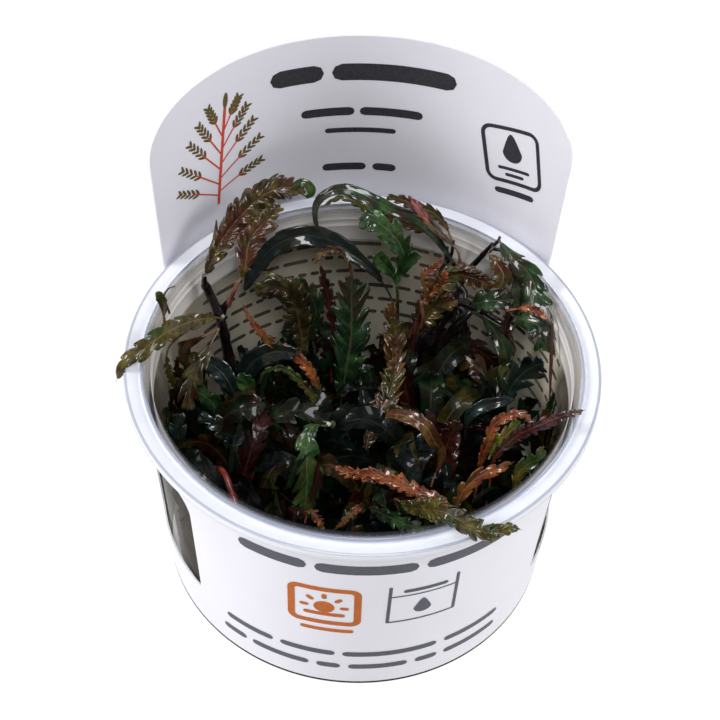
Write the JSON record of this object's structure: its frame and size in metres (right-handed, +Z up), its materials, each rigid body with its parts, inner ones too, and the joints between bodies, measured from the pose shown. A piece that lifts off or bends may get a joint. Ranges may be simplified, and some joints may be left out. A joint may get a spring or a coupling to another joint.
{
  "type": "hygrophila pinnatifida tissue culture cup",
  "caption": "Clear plastic cup of pinnate-leaved red and green aquarium plants in gel, in a white card sleeve with side windows and a tall rounded back panel.",
  "frame": {"origin": "centre of the cup's flat base, on the surface it stands on", "axes": "+Z up along the cup's axis, +Y towards the card's tall back panel, +X to the right as seen from the front"},
  "size_m": [0.1027, 0.1046, 0.1022],
  "materials": {
    "cup_plastic": "clear thin moulded plastic, slightly milky, with a whiter flange",
    "card": null,
    "gel": "dark wet growing gel",
    "undergrowth_leaves": "wet, nearly black green leaves",
    "leaf_dark_green": "wet dark green leaf with a paler midrib",
    "leaf_teal": "wet teal-black leaf",
    "leaf_olive": "wet olive-brown leaf",
    "leaf_brown": "wet reddish brown leaf",
    "leaf_orange": "wet orange-brown leaf",
    "leaf_burgundy": "wet burgundy leaf",
    "leaf_green": "wet bright green leaf",
    "leaf_pink": "wet pink-red young leaf",
    "stem_black": "wet, nearly black stem",
    "stem_red": "wet dark red stem",
    "stem_green": "wet olive green stem"
  },
  "bodies": {
    "root": {"cup": "cup_plastic", "card_sleeve": "card", "growth_gel": "gel", "undergrowth": "undergrowth_leaves", "leaf_tall_left": "leaf_olive", "leaf_tall_left_inner": "leaf_brown", "leaf_over_left_rim": "leaf_olive", "leaf_left_spike": "leaf_olive", "leaf_left_hanging": "leaf_orange", "leaf_left_twig": "leaf_olive", "leaf_strap_arch": "leaf_teal", "leaf_long_arch": "leaf_dark_green", "leaf_low_arch": "leaf_olive", "leaf_upper_arch": "leaf_brown", "leaf_pink_tip": "leaf_pink", "leaf_bright_back": "leaf_green", "leaf_red_sprig": "leaf_orange", "leaf_crinkled_arch": "leaf_brown", "leaf_right_crown": "leaf_dark_green", "leaf_right_wall_strand": "leaf_burgundy", "leaf_crown_brown": "leaf_orange", "leaf_crown_thin": "leaf_orange", "leaf_right_frill": "leaf_orange", "leaf_right_cluster": "leaf_dark_green", "leaf_right_drooping": "leaf_dark_green", "leaf_long_brown": "leaf_brown", "leaf_orange_slope": "leaf_orange", "leaf_small_arch": "leaf_olive", "leaf_centre_upright": "leaf_dark_green", "leaf_lilac_arch": "leaf_pink", "leaf_back_green": "leaf_dark_green", "leaf_back_burgundy": "leaf_burgundy", "leaf_back_crinkled": "leaf_olive", "leaf_front_hanging": "leaf_green", "leaf_left_grey_strap": "leaf_teal", "leaf_left_green_lobe": "leaf_green", "leaf_left_wall_teal": "leaf_teal", "leaf_left_dark_blade": "leaf_teal", "leaf_left_dark_low": "leaf_dark_green", "leaf_front_frilly": "leaf_orange", "leaf_over_front_rim": "leaf_olive", "leaf_front_inner": "leaf_dark_green", "leaf_front_thin": "leaf_orange", "leaf_front_short": "leaf_orange", "leaf_right_orange_low": "leaf_orange", "leaf_right_orange_arch": "leaf_orange", "leaf_over_right_rim": "leaf_burgundy", "leaf_right_yellow": "leaf_olive", "leaf_centre_grey": "leaf_teal", "leaf_centre_brick": "leaf_burgundy", "leaf_right_olive_strip": "leaf_olive", "leaf_right_teal": "leaf_teal", "leaf_centre_arch": "leaf_brown", "leaf_centre_low_green": "leaf_green", "stem_left": "stem_black", "stem_back": "stem_black", "stem_right": "stem_black", "stem_right_loop": "stem_red", "stem_centre": "stem_green"}
  },
  "joints": []
}
